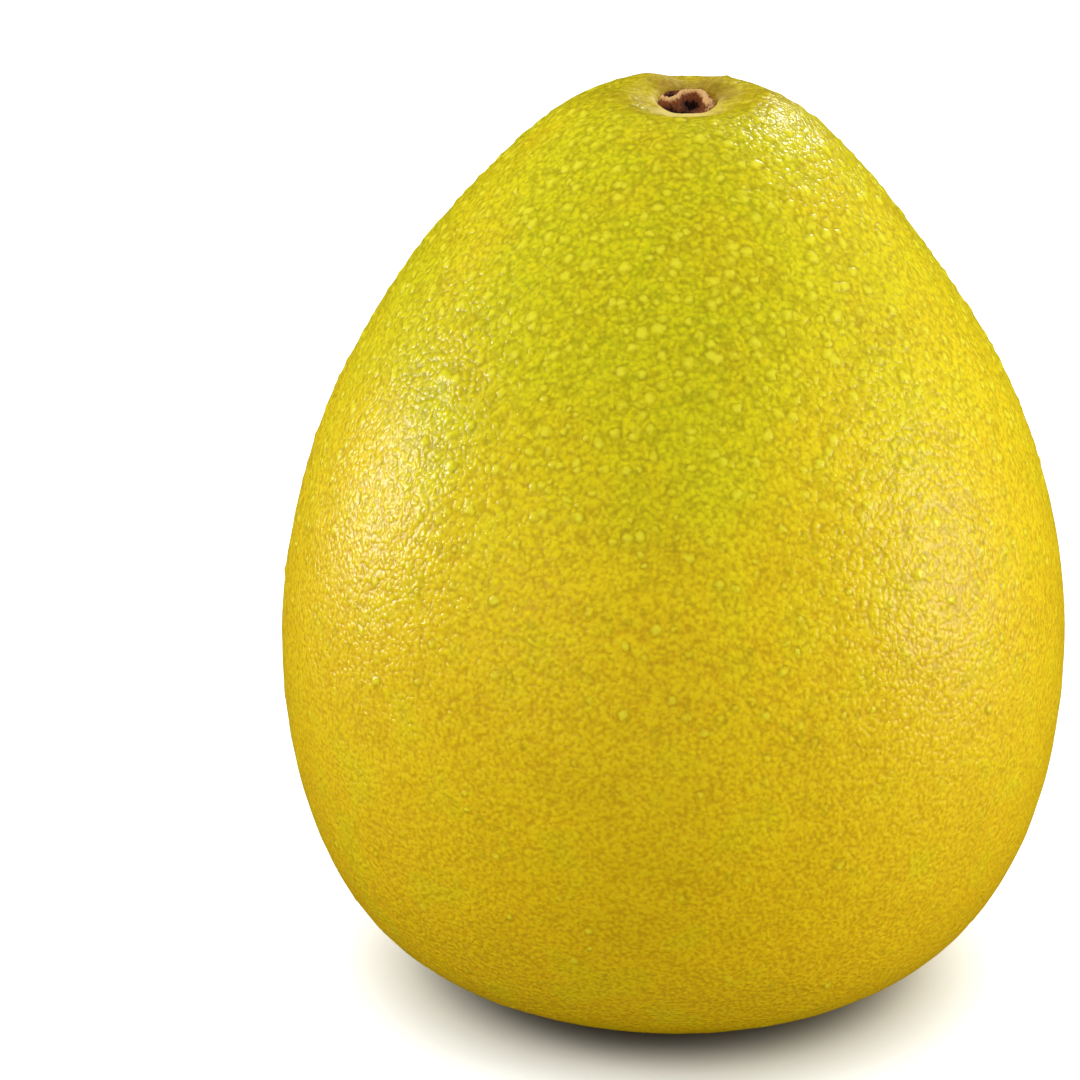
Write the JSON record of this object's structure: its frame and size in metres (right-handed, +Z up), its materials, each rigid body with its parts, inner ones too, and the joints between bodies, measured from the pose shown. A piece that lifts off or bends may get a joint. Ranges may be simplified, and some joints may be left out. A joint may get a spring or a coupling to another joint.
{
  "type": "pomelo",
  "caption": "Whole pomelo: pear-shaped yellow-green citrus fruit with a pebbled rind, standing on its flat blossom end, with a dry brown stem button in the dimple on top.",
  "frame": {"origin": "on the surface that the fruit rests on, on the fruit's own axis", "axes": "+Z up along the fruit's axis, from the blossom end to the stem end; -Y is the side that the picture shows"},
  "size_m": [0.1491, 0.1506, 0.1734],
  "materials": {
    "rind": "fresh citrus rind, pebbled, satin",
    "stem": "dry, fibrous, matte"
  },
  "bodies": {
    "root": {"fruit": "rind", "stem_button": "stem"}
  },
  "joints": []
}
